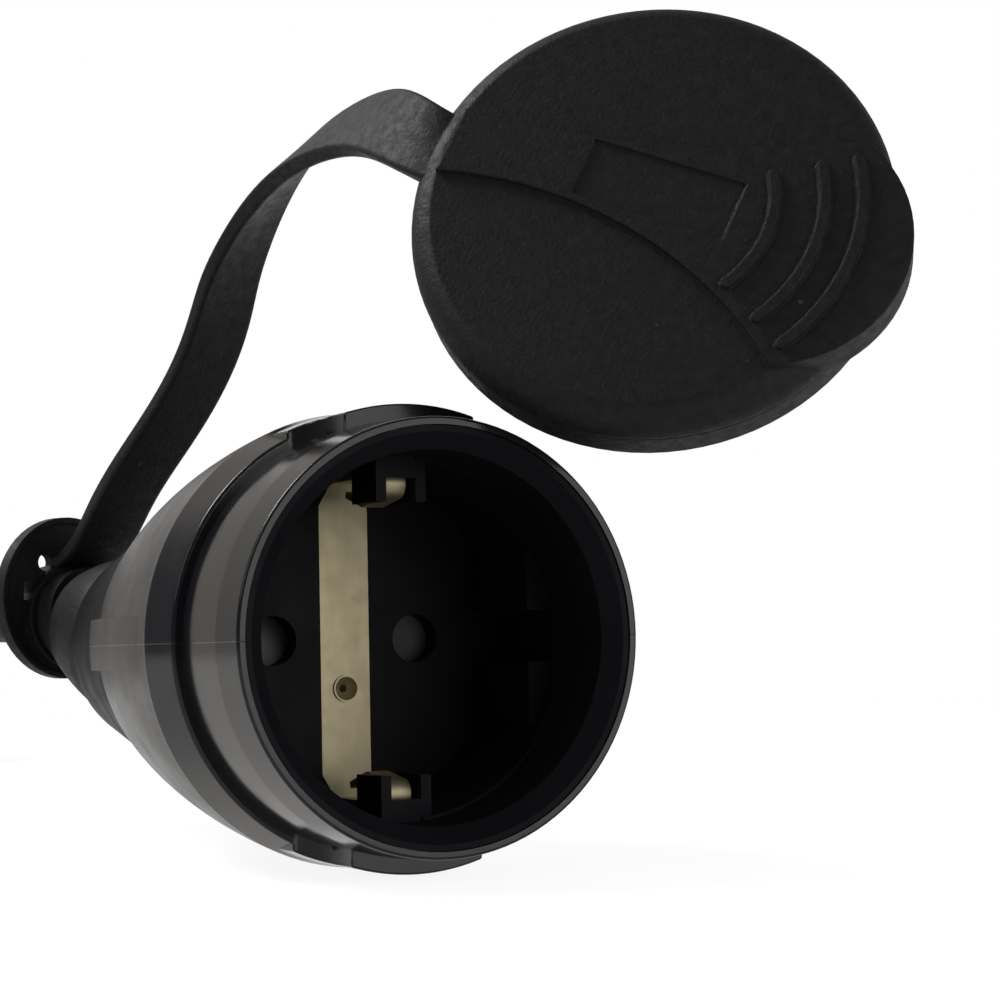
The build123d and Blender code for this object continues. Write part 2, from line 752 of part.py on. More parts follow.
def fan_outline():
    """Band that widens over the face from the strap's root and ends in the pull tab's arc."""
    end_x = math.sqrt(face_r**2 - (fan_end_w / 2)**2)
    root_x = -math.sqrt(face_r**2 - (fan_root_w / 2)**2)
    upper = ThreePointArc((root_x, fan_root_w / 2), (0, fan_mid_high), (end_x, fan_end_w / 2))
    lower = ThreePointArc((root_x, -fan_root_w / 2), (0, -fan_mid_low), (end_x, -fan_end_w / 2))
    tab = ThreePointArc(upper @ 1, (cap_r + tab_reach, 0), lower @ 1)
    return make_face([upper, tab, lower, Line(lower @ 0, upper @ 0)])


def grip_arc(radius):
    """Raised arc across the fan, with round ends."""
    turn = math.radians(grip_half_angle)
    start = (radius * math.cos(turn), radius * math.sin(turn))
    finish = (start[0], -start[1])
    line = trace([ThreePointArc(start, (radius, 0), finish)], grip_w)
    return line + Pos(*start) * Circle(grip_w / 2) + Pos(*finish) * Circle(grip_w / 2)


def fan_band():
    """Raised fan with its sunk panel, the pull tab at its wide end, and the grip arcs."""
    plan = fan_outline()
    band = Pos(0, 0, -cap_roof / 2) * extrude(plan, cap_roof / 2 + fan_rise)
    rim = plan - Circle(cap_inner_r + cap_wall / 3)
    band += Pos(0, 0, -cap_bead_drop) * extrude(rim, cap_bead_drop + fan_rise)
    band -= Pos(*panel_place, fan_rise) * Box(panel_length, panel_w, 2 * panel_depth)
    for radius in grip_radii:
        band += extrude(grip_arc(radius), fan_rise + grip_rise)
    return band


def strap_sections():
    """Rounded sections along the strap, from the cap's rim to the collar's face."""
    cap = cap_plane()
    turn = math.radians(strap_root_angle)
    out = cap.x_dir * math.cos(turn) + cap.y_dir * math.sin(turn)
    root = Vector(*cap_centre) + out * (cap_r - strap_sink) - cap.z_dir * strap_drop
    across = cap.x_dir * math.sin(turn) - cap.y_dir * math.cos(turn)
    disc = collar_plane()
    foot = disc.origin + disc.x_dir * foot_rise + disc.y_dir * foot_shift
    middles = [root, *[Vector(x, y, z) for x, y, z, _ in strap_route], foot]
    rolls = [math.radians(roll) for *_, roll in strap_route]
    sides = [across, *[Vector(math.sin(roll), 0, math.cos(roll)) for roll in rolls], disc.y_dir]
    ways = [out, *[after - before for before, after in zip(middles, middles[2:])], foot - middles[-2]]
    sections = []
    for middle, way, side in zip(middles, ways, sides):
        way = way.normalized()
        side = (side - way * side.dot(way)).normalized()
        square = Plane(middle, x_dir=side, z_dir=way)
        sections.append(square * RectangleRounded(strap_w, strap_t, strap_round))
    return sections


def collar_disc():
    """Thin rimmed disc, set off its bore, with the boss that turns on the sleeve's seat."""
    half = collar_t / 2
    outer_r = collar_d / 2
    profile = make_face(Polyline(
        (0, -half), (outer_r - collar_rim_w, -half), (outer_r - collar_rim_w, -half - collar_rim_rise),
        (outer_r, -half - collar_rim_rise), (outer_r, half), (0, half), close=True))
    disc = revolve(Plane.XZ * profile, Axis.Z)
    disc -= Pos(*collar_hole_place) * Cylinder(collar_hole_d / 2, 2 * collar_t)
    disc -= Pos(*collar_slot_place) * Box(collar_slot_length, collar_slot_w, 2 * collar_t)
    disc = Pos(collar_offset, 0) * disc
    return disc + drum(Plane.XY, -half - collar_boss_rise, half, collar_boss_d / 2)


def rubber_cap():
    """Cap, strap and collar, one rubber moulding."""
    cap = cap_plane() * (cap_shell() + Rot(0, 0, fan_angle) * fan_band())
    hollow = drum(cap_plane(), -cap_height, -cap_roof, cap_inner_r)
    reach = 2 * collar_boss_d
    disc = collar_plane()
    bore = drum(disc, -reach, reach, seat_d / 2 + run_gap)
    ahead = drum(disc, -reach, -collar_t / 2 - collar_boss_rise, shoulder_d / 2 + free_gap)
    behind = drum(disc, collar_t / 2, reach, reach)
    strap = loft(strap_sections()) - hollow - bore - ahead - behind
    return cap + strap + (disc * collar_disc() - bore)


def plug_at(shape):
    return Pos(plug_x, 0, plug_z) * shape


def square_block(front, back):
    """Block of the plug's rounded square section."""
    section = RectangleRounded(plug_body_w, plug_body_w, plug_corner)
    return Pos(0, back, 0) * Rot(90, 0, 0) * extrude(section, back - front)


def case_screw_places():
    return [(case_screw_place, case_screw_place), (-case_screw_place, -case_screw_place)]


def plug_body():
    """Handle of the plug: a rounded square grip, a neck and the gland's spigot."""
    square = Plane((0, plug_neck_end, 0), x_dir=(1, 0, 0), z_dir=(0, -1, 0))
    body = square_block(plug_neck_end, plug_body_end)
    body += loft([
        square * RectangleRounded(plug_body_w, plug_body_w, plug_corner),
        square.offset(plug_neck_length) * Circle(plug_neck_d / 2)])
    body += rod(0, 0, plug_spigot_start, plug_neck_start, plug_spigot_d / 2)
    seal_back = plug_spigot_start + plug_seal_length
    body -= turned([
        (0, plug_spigot_start), (plug_seal_d / 2, plug_spigot_start), (plug_seal_d / 2, seal_back),
        (plug_core_bore_d / 2, seal_back), (plug_core_bore_d / 2, plug_neck_start),
        (plug_cavity_d / 2, plug_neck_end), (plug_cavity_d / 2, carrier_start),
        (plug_seat_d / 2, carrier_start), (plug_seat_d / 2, plug_body_end), (0, plug_body_end)])
    for x, z in case_screw_places():
        body -= rod(x, z, plug_body_end - case_screw_bite, plug_body_end, case_screw_d / 2)
    return plug_at(body)


def plug_shroud():
    """Front of the plug: square flange, round shroud and the key rib along it."""
    outer_r = shroud_bore_d / 2 + shroud_wall
    end = plug_body_end + shroud_flange_t + shroud_length
    key_r = outer_r + key_rise
    body = square_block(plug_body_end, plug_body_end + shroud_flange_t)
    body += rod(0, 0, plug_body_end, end, outer_r)
    body += block(-key_w / 2, key_w / 2, plug_body_end, end, -key_r, -shroud_bore_d / 2)
    body -= rod(0, 0, plug_body_end + shroud_flange_t, end, shroud_bore_d / 2)
    body -= rod(0, 0, plug_body_end, plug_body_end + shroud_flange_t, shroud_window_d / 2)
    groove_r = key_r - shroud_wall
    body -= block(-key_slot_w / 2, key_slot_w / 2, plug_body_end + shroud_flange_t, end, -groove_r, 0)
    for x, z in case_screw_places():
        body -= rod(x, z, plug_body_end, plug_body_end + shroud_flange_t, case_screw_d / 2 + fit_gap)
    return plug_at(body)


def plug_case_screws():
    front = plug_body_end + shroud_flange_t
    screws = []
    for x, z in case_screw_places():
        shank = rod(x, z, plug_body_end - case_screw_bite, front, case_screw_d / 2)
        head = rod(x, z, front, front + case_screw_d / 2, case_screw_head_d / 2)
        reach = case_screw_head_d / 2
        half = screw_slot / 2
        slot_floor = front + case_screw_d / 4
        slot = block(x - reach, x + reach, slot_floor, front + case_screw_d / 2, z - half, z + half)
        screws.append(plug_at(shank + head - slot))
    return Compound(screws)


def plug_pin_places():
    """Place and diameter of each pin by name, with the thicker earth pin at the key."""
    places = {}
    radius = plug_pin_circle / 2
    for name, angle in core_angles.items():
        turn = math.radians(angle)
        size = plug_earth_d if name == "earth" else plug_pin_d
        places[name] = (radius * math.cos(turn), radius * math.sin(turn), size)
    return places


def plug_pin_carrier():
    """Disc that holds the pins, clamped between the handle's shoulder and the shroud."""
    body = rod(0, 0, carrier_start, plug_body_end, plug_seat_d / 2 - fit_gap)
    body += rod(0, 0, plug_body_end, plug_body_end + shroud_flange_t, shroud_window_d / 2 - fit_gap)
    for x, z, size in plug_pin_places().values():
        front = plug_body_end + shroud_flange_t
        body -= rod(x, z, carrier_start, front, size / 2 + fit_gap / 2)
        body -= rod(x, z, carrier_start, carrier_start + pin_collar_t, size / 2 + pin_collar_rim + fit_gap)
    return plug_at(body)


def plug_pin(name):
    """Turned pin with a collar behind the carrier and a drilled tail for its core."""
    x, z, size = plug_pin_places()[name]
    front = plug_body_end + shroud_flange_t + plug_pin_out
    tail = carrier_start - pin_tail_length
    body = rod(x, z, carrier_start, front, size / 2)
    body = chamfer(body.edges().group_by(Axis.Y)[-1], size / 6)
    body += rod(x, z, carrier_start, carrier_start + pin_collar_t, size / 2 + pin_collar_rim)
    body += rod(x, z, tail, carrier_start, pin_tail_d / 2)
    body -= rod(x, z, tail, tail + wire_bore_depth, wire_bore_d / 2)
    return plug_at(body - pin_screw_shape(name, fit_gap / 2))


def pin_screw_shape(name, gap=0.0):
    """Grub screw from above into the pin's tail."""
    x, z, _ = plug_pin_places()[name]
    y = carrier_start - pin_tail_length + wire_bore_depth / 2
    low = z + copper_d / 2
    height = pin_tail_d / 2 - copper_d / 2
    return drum(Plane((x, y, low)), 0, height, pin_screw_d / 2 + gap)


def plug_pin_screws():
    return Compound([plug_at(pin_screw_shape(name)) for name in plug_pin_places()])


def plug_core(name):
    x, z, _ = plug_pin_places()[name]
    tail = carrier_start - pin_tail_length
    shape = laid_core(core_lay(name), (x, z), plug_jacket_end, tail)
    return plug_at(shape)


def plug_gland_seal():
    body = ring(plug_spigot_start, plug_spigot_start + plug_seal_length,
                plug_seal_d / 2 - fit_gap, cable_r + fit_gap)
    return plug_at(body)


def plug_gland_nut():
    """Round nut with grip flutes, closing on the seal."""
    end = plug_tail + plug_nut_length
    lip = plug_spigot_start - fit_gap
    thread_r = plug_spigot_d / 2 + fit_gap
    body = turned([
        (cable_r + sleeve_gap, plug_tail), (plug_nut_tail_d / 2, plug_tail), (plug_nut_d / 2, lip),
        (plug_nut_d / 2, end), (thread_r, end), (thread_r, lip), (cable_r + sleeve_gap, lip)])
    flute_r = plug_nut_flute / 2
    for index in range(plug_nut_flutes):
        turn = 2 * math.pi * index / plug_nut_flutes
        reach = plug_nut_d / 2 + plug_flute_out
        body -= rod(reach * math.cos(turn), reach * math.sin(turn), plug_tail, end - plug_nut_lip, flute_r)
    return plug_at(body)


def route_points():
    """Points of the cable, from its cut jacket in the socket to the one in the plug."""
    way = neck_plane(collar_reach).z_dir
    points = [Vector(0, jacket_end, 0), bend_corner(), bend_corner() + way * first_run]
    points += [Vector(*point) for point in cable_route]
    return points + [Vector(plug_x, plug_entry, plug_z), Vector(plug_x, plug_jacket_end, plug_z)]


def cable():
    points = route_points()
    radii = []
    for before, here, after in zip(points, points[1:], points[2:]):
        first = here - before
        second = after - here
        turn = math.radians(first.get_angle(second))
        radii.append(bend_share * min(first.length, second.length) / math.tan(turn / 2))
    radii[0] = bend_radius
    path = FilletPolyline(*points, radius=radii)
    tube = sweep(Plane(path @ 0, z_dir=path % 0) * Circle(cable_r), path)
    print("cable bend radii", [round(radius, 1) for radius in radii], "length", round(path.length, 1))
    print("cable volume against section times length",
          round(tube.volume / (math.pi * cable_r**2 * path.length), 5))
    return tube


def pieces():
    """Every node of the part by name."""
    socket_cores = {"line": (pin_x, 0), "neutral": (-pin_x, 0), "earth": (0, earth_block_z)}
    made = {
        "housing": housing(),
        "socket_insert": socket_insert(),
        "contact_base": contact_base(),
        "base_screws": base_screws(),
        "shutter": shutter(),
        "shutter_spring": shutter_spring(),
        "line_contact": pin_contact(1),
        "neutral_contact": pin_contact(-1),
        "terminal_screws": terminal_screws(),
        "earth_strip": earth_strip(),
        "earth_rivet": earth_rivet(),
        "earth_terminal": earth_terminal(),
        "gland_seal": gland_seal(),
        "gland_washer": gland_washer(),
        "gland_nut": gland_nut(),
        "bend_sleeve": bend_sleeve(),
        "rubber_cap": rubber_cap(),
        "cable": cable(),
        "plug_body": plug_body(),
        "plug_shroud": plug_shroud(),
        "plug_case_screws": plug_case_screws(),
        "plug_pin_carrier": plug_pin_carrier(),
        "plug_pin_screws": plug_pin_screws(),
        "plug_gland_seal": plug_gland_seal(),
        "plug_gland_nut": plug_gland_nut(),
    }
    for name, place in socket_cores.items():
        made[name + "_core"] = laid_core(core_lay(name), place, jacket_end, terminal_back)
        made["plug_" + name + "_core"] = plug_core(name)
        made["plug_" + name + "_pin"] = plug_pin(name)
    return made


os.makedirs("parts", exist_ok=True)
for node, shape in pieces().items():
    export_step(shape, "parts/" + node + ".step")
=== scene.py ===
import bmesh
import bpy
import json
import math
from mathutils import Matrix, Vector
from typing import NamedTuple


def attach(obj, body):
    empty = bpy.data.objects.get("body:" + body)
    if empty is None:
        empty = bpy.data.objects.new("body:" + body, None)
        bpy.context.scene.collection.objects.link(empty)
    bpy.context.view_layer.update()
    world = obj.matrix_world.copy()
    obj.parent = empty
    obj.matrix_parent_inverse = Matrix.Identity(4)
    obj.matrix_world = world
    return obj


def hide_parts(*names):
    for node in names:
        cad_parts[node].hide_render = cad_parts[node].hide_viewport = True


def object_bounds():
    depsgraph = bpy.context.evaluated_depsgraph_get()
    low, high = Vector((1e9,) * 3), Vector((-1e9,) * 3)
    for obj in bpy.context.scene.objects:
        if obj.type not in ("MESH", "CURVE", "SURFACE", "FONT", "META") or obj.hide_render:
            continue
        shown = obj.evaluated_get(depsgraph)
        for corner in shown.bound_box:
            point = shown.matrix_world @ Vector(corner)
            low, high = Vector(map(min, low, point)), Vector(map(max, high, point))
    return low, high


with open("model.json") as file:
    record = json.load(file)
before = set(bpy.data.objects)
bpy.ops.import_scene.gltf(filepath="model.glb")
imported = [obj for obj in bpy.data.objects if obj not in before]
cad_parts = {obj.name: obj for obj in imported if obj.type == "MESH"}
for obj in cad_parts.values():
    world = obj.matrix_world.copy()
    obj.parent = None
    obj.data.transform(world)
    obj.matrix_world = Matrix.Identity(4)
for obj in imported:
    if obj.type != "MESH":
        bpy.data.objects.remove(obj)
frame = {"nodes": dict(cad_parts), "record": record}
cad_low, cad_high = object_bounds()
nodes = frame["nodes"]


class Noise(NamedTuple):
    """A noise texture: features per metre, octaves and their roughness, and the span of it in use."""

    scale: float
    detail: float = 4.0
    roughness: float = 0.55
    span: tuple = (0.0, 1.0)


MM = 0.001

# Camera, from the photograph: metres and degrees, with sensor and lens in millimetres
CAMERA_PLACE = Vector((-0.1175, -0.2414, -0.0012))
CAMERA_AZIMUTH = -27.33
CAMERA_ELEVATION = -3.52
CAMERA_ROLL = -1.17
CAMERA_NEAR = 0.01
CAMERA_SENSOR = 36.0
CAMERA_LENS = 85.57

# Cable: the route of its tube, in millimetres
CABLE_ROUTE = (
    (0.0, 65.0, 0.0), (0.0, 92.75, 0.0), (-15.08, 131.12, 8.02), (-21.0, 178.0, 2.0),
    (-10.0, 228.0, -4.5), (10.0, 280.0, -2.5), (10.0, 337.3, -2.5))
CABLE_DIAMETER = 10.5
CABLE_ROUNDNESS = 8               # of its section
CABLE_SMOOTHNESS = 16             # steps from one point of the route to the next

# Lugs above and below the barrel at their full height, in millimetres
LUG_HALF = 8.35                   # half of a lug's width
LUG_FRONT = 8.35                  # front, flange and back are places along Y
LUG_FLANGE = 16.9
LUG_BACK = 23.5
LUG_FLARE = 3.6                   # hollow round where a lug meets the flange
LUG_RADIUS = 27.25
LUG_ROOT_RADIUS = 24.6
LUG_EDGE = 0.25
LUG_EDGE_STEPS = 2
LUG_FACE_STEPS = 16
LUG_FLARE_STEPS = 8

# Noses that start the side ribs flush, in millimetres
NOSE_ROWS = (
    # place along Y and radius
    (26.5, 27.207), (32.0, 26.913), (33.2, 26.77))
NOSE_HALF = 3.29                  # half of a nose's width
NOSE_SUNK = 0.8
NOSE_STEPS = 4

# Lugs and noses keep edges sharp that turn by more than this, in degrees
SHARP_EDGE = 30.0

# Plastic: places and heights in metres
PLASTIC_MOTTLE = Noise(55.0, span=(0.35, 0.7))
PLASTIC_PATCHES = Noise(180.0, detail=6.0, span=(0.3, 0.75))
PLASTIC_GRAIN = Noise(1500.0, detail=3.0)
PLASTIC_GRAIN_HEIGHT = 0.000012
SATIN_FROM = (0.0228, 0.0242)     # along Y, where the satin grip sets in
SATIN_ROUGHER = 0.2
PARTING_EDGE = (0.00008, 0.0002)  # the parting line's top and foot, from its middle
PARTING_HEIGHT = 0.00003
PLASTICS = {
    "black_plastic": dict(
        dark=(0.010, 0.010, 0.012), light=(0.015, 0.015, 0.018), rough=(0.12, 0.2), specular=0.45,
        grain=0.000004, satin=True),
    "insert_plastic": dict(
        dark=(0.0085, 0.0085, 0.0105), light=(0.0115, 0.0115, 0.014), rough=(0.42, 0.55), specular=0.07),
    "shutter_plastic": dict(
        dark=(0.10, 0.10, 0.105), light=(0.12, 0.12, 0.125), rough=(0.5, 0.65), specular=0.3),
    "blue_plastic": dict(
        dark=(0.012, 0.085, 0.36), light=(0.018, 0.105, 0.42), rough=(0.28, 0.42), specular=0.5),
    "carrier_plastic": dict(
        dark=(0.30, 0.31, 0.32), light=(0.36, 0.37, 0.38), rough=(0.42, 0.55), specular=0.45),
    "brown_core": dict(
        dark=(0.14, 0.05, 0.02), light=(0.17, 0.065, 0.028), rough=(0.4, 0.5), specular=0.45),
    "blue_core": dict(
        dark=(0.025, 0.1, 0.4), light=(0.035, 0.13, 0.48), rough=(0.4, 0.5), specular=0.45),
    "earth_core": dict(
        dark=(0.12, 0.36, 0.04), light=(0.62, 0.56, 0.05), rough=(0.4, 0.5), specular=0.45),
}

# Rubber: edges and grain in metres
RUBBER_MOTTLE = Noise(900.0, detail=5.0, span=(0.35, 0.7))
RUBBER_DUST = Noise(620.0, detail=2.0, roughness=0.4, span=(0.765, 0.82))
RUBBER_DUST_COLOUR = (0.07, 0.068, 0.064)
RUBBER_PATCHES = Noise(700.0, span=(0.3, 0.75))
RUBBER_ROUGH = (0.5, 0.66)
RUBBER_SPECULAR = 0.3
RUBBER_GRAIN = Noise(2200.0, detail=3.0, roughness=0.5)
RUBBER_EDGE = 0.0005
RUBBERS = {
    "cap_rubber": dict(dark=(0.009, 0.009, 0.0095), light=(0.015, 0.015, 0.016), grain=0.00009),
    "cable_rubber": dict(dark=(0.010, 0.010, 0.011), light=(0.016, 0.016, 0.017), grain=0.00003),
}

# Metal: grain in metres
METAL_DRAWN = (4.0, 1.0, 0.6)     # how closely the streaks lie along X, Y and Z
METAL_STREAKS = Noise(260.0, detail=5.0, span=(0.3, 0.7))
METAL_STAINS = Noise(330.0, detail=6.0, roughness=0.7, span=(0.6, 0.74))
METAL_PATCHES = Noise(500.0, detail=5.0, span=(0.3, 0.7))
METAL_GRAIN = Noise(900.0)
METAL_GRAIN_HEIGHT = 0.000005
METALS = {
    "strip_nickel": dict(
        dark=(0.46, 0.40, 0.25), light=(0.49, 0.43, 0.275), stain=(0.40, 0.335, 0.2), rough=(0.47, 0.53),
        metallic=0.8),
    "steel": dict(
        dark=(0.46, 0.46, 0.47), light=(0.58, 0.58, 0.59), stain=(0.35, 0.35, 0.34), rough=(0.25, 0.4)),
    "brass": dict(
        dark=(0.66, 0.46, 0.18), light=(0.76, 0.56, 0.25), stain=(0.45, 0.28, 0.1), rough=(0.2, 0.35)),
}

# Stage and light, in metres
FLOOR_Z = cad_low.z
FLOOR_RADIUS = 0.75
FLOOR_FADE = 0.25                 # radius where the floor starts to fade
FLOOR_STEPS = 96
FLOOR_BODY = 0.36                 # the rest of the light passes through
FLOOR_COLOUR = (0.9, 0.9, 0.9)
FLOOR_ROUGH = 0.9
FLOOR_SPECULAR = 0.1
FLOOR_GLOW = 0.7                  # paleness seen by the camera and in reflections
ROOM = (0.13, 0.13, 0.14)
WALL = (0.47, 0.44, 0.40)
WHITE = (1.0, 1.0, 1.0)
BACKDROP_SIDE = (0.45, 0.893, 0.0)   # where the white backdrop's middle stands
BACKDROP_RAMP = (
    # cosine to that side, and the colour there
    (0.5, ROOM), (0.6, WALL), (0.86, WALL), (0.925, WHITE))
LAMPS = (
    # name, place, aim, width, height, watts
    ("key", (0.42, -0.86, 0.22), (0.0, 0.02, 0.0), 0.8, 0.8, 3.1),
    ("top", (-0.5, 0.5, 0.8), (0.02, 0.0, 0.04), 0.4, 0.4, 6.5),
    ("side", (-0.9, -0.1, 0.5), (0.0, 0.03, 0.02), 0.5, 0.5, 1.0),
)


def add_object(name, data):
    made = bpy.data.objects.new(name, data)
    bpy.context.scene.collection.objects.link(made)
    return made


def make_camera():
    """The photograph's view."""
    azimuth = math.radians(CAMERA_AZIMUTH)
    elevation = math.radians(CAMERA_ELEVATION)
    roll = math.radians(CAMERA_ROLL)
    back = Vector((
        math.sin(azimuth) * math.cos(elevation),
        -math.cos(azimuth) * math.cos(elevation),
        math.sin(elevation)))
    level = Vector((math.cos(azimuth), math.sin(azimuth), 0.0))
    upright = back.cross(level)
    right = math.cos(roll) * level + math.sin(roll) * upright
    up = math.cos(roll) * upright - math.sin(roll) * level
    data = bpy.data.cameras.new("camera")
    data.sensor_width = CAMERA_SENSOR
    data.lens = CAMERA_LENS
    data.clip_start = CAMERA_NEAR
    camera = add_object("camera", data)
    turn = Matrix((right, up, back)).transposed().to_4x4()
    camera.matrix_world = Matrix.Translation(CAMERA_PLACE) @ turn
    bpy.context.scene.camera = camera


def make_lamp(name, place, aim, width, height, watts):
    data = bpy.data.lights.new(name, "AREA")
    data.shape = "RECTANGLE"
    data.size = width
    data.size_y = height
    data.energy = watts
    lamp = add_object(name, data)
    lamp.location = place
    lamp.rotation_mode = "QUATERNION"
    lamp.rotation_quaternion = (Vector(aim) - Vector(place)).to_track_quat("-Z", "Y")


def make_world():
    """A dim room with a white backdrop behind the object and grey walls beside it."""
    world = bpy.data.worlds.new("studio")
    bpy.context.scene.world = world
    world.use_nodes = True
    tree = world.node_tree
    coords = tree.nodes.new("ShaderNodeTexCoord")
    toward = tree.nodes.new("ShaderNodeVectorMath")
    toward.operation = "DOT_PRODUCT"
    toward.inputs[1].default_value = BACKDROP_SIDE
    ramp = tree.nodes.new("ShaderNodeValToRGB")
    ramp.color_ramp.interpolation = "EASE"
    stops = ramp.color_ramp.elements
    while len(stops) < len(BACKDROP_RAMP):
        stops.new(1.0)
    for stop, (place, colour) in zip(stops, BACKDROP_RAMP):
        stop.position = place
        stop.color = (*colour, 1.0)
    tree.links.new(coords.outputs["Generated"], toward.inputs[0])
    tree.links.new(toward.outputs["Value"], ramp.inputs["Fac"])
    tree.links.new(ramp.outputs["Color"], tree.nodes["Background"].inputs["Color"])


def set_inputs(node, values):
    """Sets a node's sockets from their names in small letters."""
    for key, value in values.items():
        name = key.replace("_", " ").title().replace("Ior", "IOR")
        node.inputs[name].default_value = value


class Shader:
    """A principled material with short ways to add its textures."""

    MIX_COLOURS = (6, 7)              # the Mix node's sockets for two colours
    MIX_RESULT = 2

    def __init__(self, name, **values):
        self.material = bpy.data.materials.new(name)
        self.material.use_nodes = True
        self.tree = self.material.node_tree
        self.surface = self.tree.nodes["Principled BSDF"]
        set_inputs(self.surface, values)
        self.coords = self.tree.nodes.new("ShaderNodeTexCoord").outputs["Object"]

    def node(self, kind, **values):
        made = self.tree.nodes.new(kind)
        set_inputs(made, values)
        return made

    def link(self, source, target):
        self.tree.links.new(source, target)

    def stretched(self, scale):
        mapping = self.node("ShaderNodeMapping", scale=scale)
        self.link(self.coords, mapping.inputs["Vector"])
        return mapping.outputs["Vector"]

    def noise(self, look, vector=None):
        made = self.node(
            "ShaderNodeTexNoise", scale=look.scale, detail=look.detail, roughness=look.roughness)
        self.link(vector or self.coords, made.inputs["Vector"])
        return made.outputs["Fac"]

    def remap(self, value, span, result):
        made = self.node(
            "ShaderNodeMapRange", from_min=span[0], from_max=span[1], to_min=result[0], to_max=result[1])
        made.interpolation_type = "SMOOTHSTEP"
        self.link(value, made.inputs["Value"])
        return made.outputs["Result"]

    def spread(self, look, result=(0.0, 1.0), vector=None):
        """Noise whose span in use is spread over the result's."""
        return self.remap(self.noise(look, vector), look.span, result)

    def arithmetic(self, operation, *values):
        made = self.node("ShaderNodeMath")
        made.operation = operation
        for socket, value in zip(made.inputs, values):
            if isinstance(value, float):
                socket.default_value = value
            else:
                self.link(value, socket)
        return made.outputs["Value"]

    def mix(self, factor, *colours):
        made = self.node("ShaderNodeMix")
        made.data_type = "RGBA"
        self.link(factor, made.inputs["Factor"])
        for place, colour in zip(self.MIX_COLOURS, colours):
            if isinstance(colour, tuple):
                made.inputs[place].default_value = (*colour, 1.0)
            else:
                self.link(colour, made.inputs[place])
        return made.outputs[self.MIX_RESULT]

    def colour(self, value):
        self.link(value, self.surface.inputs["Base Color"])

    def rough(self, value):
        self.link(value, self.surface.inputs["Roughness"])

    def bump(self, height, distance, below=None):
        """Raises the surface by a texture, over the normal of what lies below."""
        made = self.node("ShaderNodeBump", strength=1.0, distance=distance)
        self.link(height, made.inputs["Height"])
        if below is not None:
            self.link(below, made.inputs["Normal"])
        self.link(made.outputs["Normal"], self.surface.inputs["Normal"])
        return made.outputs["Normal"]


def moulded_plastic(name, dark, light, rough, specular, grain=PLASTIC_GRAIN_HEIGHT, satin=False):
    """Mottled plastic with uneven gloss and grain, and if asked a satin grip and a parting line."""
    shader = Shader(name, specular_ior_level=specular)
    shader.colour(shader.mix(shader.spread(PLASTIC_MOTTLE), dark, light))
    gloss = shader.spread(PLASTIC_PATCHES, rough)
    normal = shader.bump(shader.noise(PLASTIC_GRAIN), grain)
    if satin:
        place = shader.node("ShaderNodeSeparateXYZ")
        shader.link(shader.coords, place.inputs["Vector"])
        rougher = shader.remap(place.outputs["Y"], SATIN_FROM, (0.0, SATIN_ROUGHER))
        gloss = shader.arithmetic("ADD", gloss, rougher)
        from_middle = shader.arithmetic("ABSOLUTE", place.outputs["Z"])
        parting_line = shader.remap(from_middle, PARTING_EDGE, (1.0, 0.0))
        shader.bump(parting_line, PARTING_HEIGHT, below=normal)
    shader.rough(gloss)
    return shader.material


def moulded_rubber(name, dark, light, grain):
    """Rubber with a fine spark-eroded grain, soft edges, matt patches and a little dust."""
    shader = Shader(name, specular_ior_level=RUBBER_SPECULAR)
    base = shader.mix(shader.spread(RUBBER_MOTTLE), dark, light)
    shader.colour(shader.mix(shader.spread(RUBBER_DUST), base, RUBBER_DUST_COLOUR))
    shader.rough(shader.spread(RUBBER_PATCHES, RUBBER_ROUGH))
    soft_edges = shader.node("ShaderNodeBevel", radius=RUBBER_EDGE)
    shader.bump(shader.noise(RUBBER_GRAIN), grain, below=soft_edges.outputs["Normal"])
    return shader.material


def plated_metal(name, dark, light, stain, rough, metallic=1.0):
    """Rolled and plated metal with drawn streaks and dull stains."""
    shader = Shader(name, metallic=metallic)
    drawn = shader.stretched(METAL_DRAWN)
    base = shader.mix(shader.spread(METAL_STREAKS, vector=drawn), dark, light)
    shader.colour(shader.mix(shader.spread(METAL_STAINS), base, stain))
    shader.rough(shader.spread(METAL_PATCHES, rough))
    shader.bump(shader.noise(METAL_GRAIN, drawn), METAL_GRAIN_HEIGHT)
    return shader.material


def make_materials():
    """Makes every material and gives it to the solids of its slot."""
    made = {name: moulded_plastic(name, **look) for name, look in PLASTICS.items()}
    made.update({name: moulded_rubber(name, **look) for name, look in RUBBERS.items()})
    made.update({name: plated_metal(name, **look) for name, look in METALS.items()})
    made["seal_rubber"] = made["cable_rubber"]
    for row in frame["record"]["subparts"]:
        slots = nodes[row["node"]].data.materials
        slots.clear()
        slots.append(made[row["material_slot"]])
    return made


def sheet_between(shape, rows):
    """Faces between neighbouring rows of points, matched from the last point of each."""
    sheet = []
    for left, right in zip(rows, rows[1:]):
        count = min(len(left), len(right))
        left, right = left[-count:], right[-count:]
        for k in range(count - 1):
            sheet.append(shape.faces.new((left[k], right[k], right[k + 1], left[k + 1])))
    return sheet


def points_behind(shape, sheet):
    """The points of a second sheet, joined to the first one by walls."""
    grown = bmesh.ops.extrude_face_region(shape, geom=sheet)["geom"]
    return [part for part in grown if isinstance(part, bmesh.types.BMVert)]


def add_moulding(name, shape, materials):
    """A piece of the housing's own plastic from a built shape."""
    bmesh.ops.recalc_face_normals(shape, faces=shape.faces)
    mesh = bpy.data.meshes.new(name)
    shape.to_mesh(mesh)
    shape.free()
    mesh.shade_smooth()
    mesh.set_sharp_from_angle(angle=math.radians(SHARP_EDGE))
    mesh.materials.append(materials["black_plastic"])
    piece = add_object(name, mesh)
    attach(piece, "coupler")
    return piece


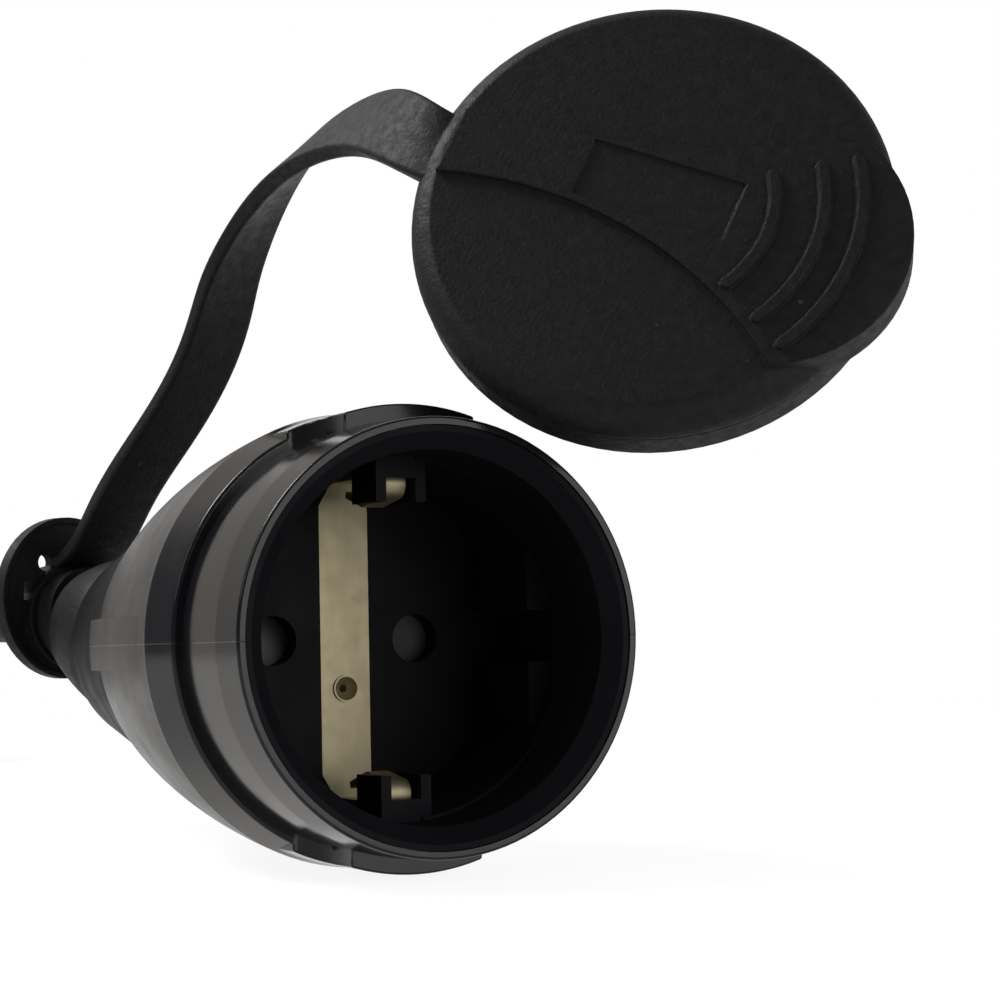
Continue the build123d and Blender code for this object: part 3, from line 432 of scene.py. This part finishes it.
def lug_columns():
    """Places across a lug from one side to the other, each with its places along Y."""
    root = LUG_HALF + LUG_FLARE
    hollow = LUG_FLANGE - LUG_FLARE
    half = [(LUG_HALF * step / LUG_FACE_STEPS, (LUG_FRONT, hollow, LUG_BACK))
            for step in range(LUG_FACE_STEPS + 1)]
    for step in range(1, LUG_FLARE_STEPS + 1):
        x = LUG_HALF + LUG_FLARE * step / LUG_FLARE_STEPS
        half.append((x, (hollow + math.sqrt(LUG_FLARE ** 2 - (root - x) ** 2), LUG_BACK)))
    return [(-x, levels) for x, levels in reversed(half[1:])] + half


def make_lugs(materials):
    """The lugs above and below the barrel at full height, running back into the flange."""
    shape = bmesh.new()
    for side in (1, -1):
        rows = [[shape.verts.new((x * MM, y * MM, side * math.sqrt(LUG_RADIUS ** 2 - x ** 2) * MM))
                 for y in levels] for x, levels in lug_columns()]
        for point in points_behind(shape, sheet_between(shape, rows)):
            point.co.z = side * math.sqrt((LUG_ROOT_RADIUS * MM) ** 2 - point.co.x ** 2)
    lugs = add_moulding("housing_lugs", shape, materials)
    soften = lugs.modifiers.new("edges", "BEVEL")
    soften.width = LUG_EDGE * MM
    soften.segments = LUG_EDGE_STEPS
    soften.harden_normals = True


def make_rib_noses(materials):
    """Wedges that start the side ribs flush with the dome."""
    heights = [NOSE_HALF * step / NOSE_STEPS for step in range(-NOSE_STEPS, NOSE_STEPS + 1)]
    shape = bmesh.new()
    for side in (1, -1):
        rows = [[shape.verts.new((side * math.sqrt(radius ** 2 - z ** 2) * MM, y * MM, z * MM))
                 for z in heights] for y, radius in NOSE_ROWS]
        for point in points_behind(shape, sheet_between(shape, rows)):
            point.co.x -= side * NOSE_SUNK * MM
    add_moulding("rib_noses", shape, materials)


def make_cable(materials):
    """The cable on one smooth line along its route, with the plug on its far end."""
    data = bpy.data.curves.new("cable_run", "CURVE")
    data.dimensions = "3D"
    data.bevel_depth = CABLE_DIAMETER / 2 * MM
    data.bevel_resolution = CABLE_ROUNDNESS
    data.resolution_u = CABLE_SMOOTHNESS
    data.use_fill_caps = True
    data.materials.append(materials["cable_rubber"])
    spline = data.splines.new("NURBS")
    spline.points.add(len(CABLE_ROUTE) - 1)
    for point, place in zip(spline.points, CABLE_ROUTE):
        point.co = (*[value * MM for value in place], 1.0)
    spline.order_u = 3
    spline.use_endpoint_u = True
    cable = add_object("cable_run", data)
    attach(cable, "coupler")
    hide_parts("cable")


def floor_material():
    """A pale surface that fades out with its radius and looks pale in reflections too."""
    shader = Shader(
        "floor", base_color=(*FLOOR_COLOUR, 1.0), roughness=FLOOR_ROUGH,
        specular_ior_level=FLOOR_SPECULAR, emission_color=(*WHITE, 1.0))
    path = shader.node("ShaderNodeLightPath").outputs
    seen = shader.arithmetic("ADD", path["Is Camera Ray"], path["Is Glossy Ray"])
    seen = shader.arithmetic("ADD", seen, path["Is Transmission Ray"])
    glow = shader.arithmetic("MULTIPLY", seen, FLOOR_GLOW)
    shader.link(glow, shader.surface.inputs["Emission Strength"])
    radius = shader.node("ShaderNodeVectorMath")
    radius.operation = "LENGTH"
    shader.link(shader.coords, radius.inputs[0])
    body = shader.remap(radius.outputs["Value"], (FLOOR_FADE, FLOOR_RADIUS), (FLOOR_BODY, 0.0))
    shader.link(body, shader.surface.inputs["Alpha"])
    return shader.material


def make_floor():
    """A round floor under the object."""
    points = [(0.0, 0.0, FLOOR_Z)]
    for step in range(FLOOR_STEPS):
        turn = 2 * math.pi * step / FLOOR_STEPS
        points.append((FLOOR_RADIUS * math.cos(turn), FLOOR_RADIUS * math.sin(turn), FLOOR_Z))
    faces = [(0, 1 + step, 1 + (step + 1) % FLOOR_STEPS) for step in range(FLOOR_STEPS)]
    mesh = bpy.data.meshes.new("floor")
    mesh.from_pydata(points, [], faces)
    mesh.materials.append(floor_material())
    floor = add_object("floor", mesh)


make_camera()
finishes = make_materials()
make_lugs(finishes)
make_rib_noses(finishes)
make_cable(finishes)
make_world()
for lamp in LAMPS:
    make_lamp(*lamp)
make_floor()

bpy.context.scene.view_settings.view_transform = "Standard"
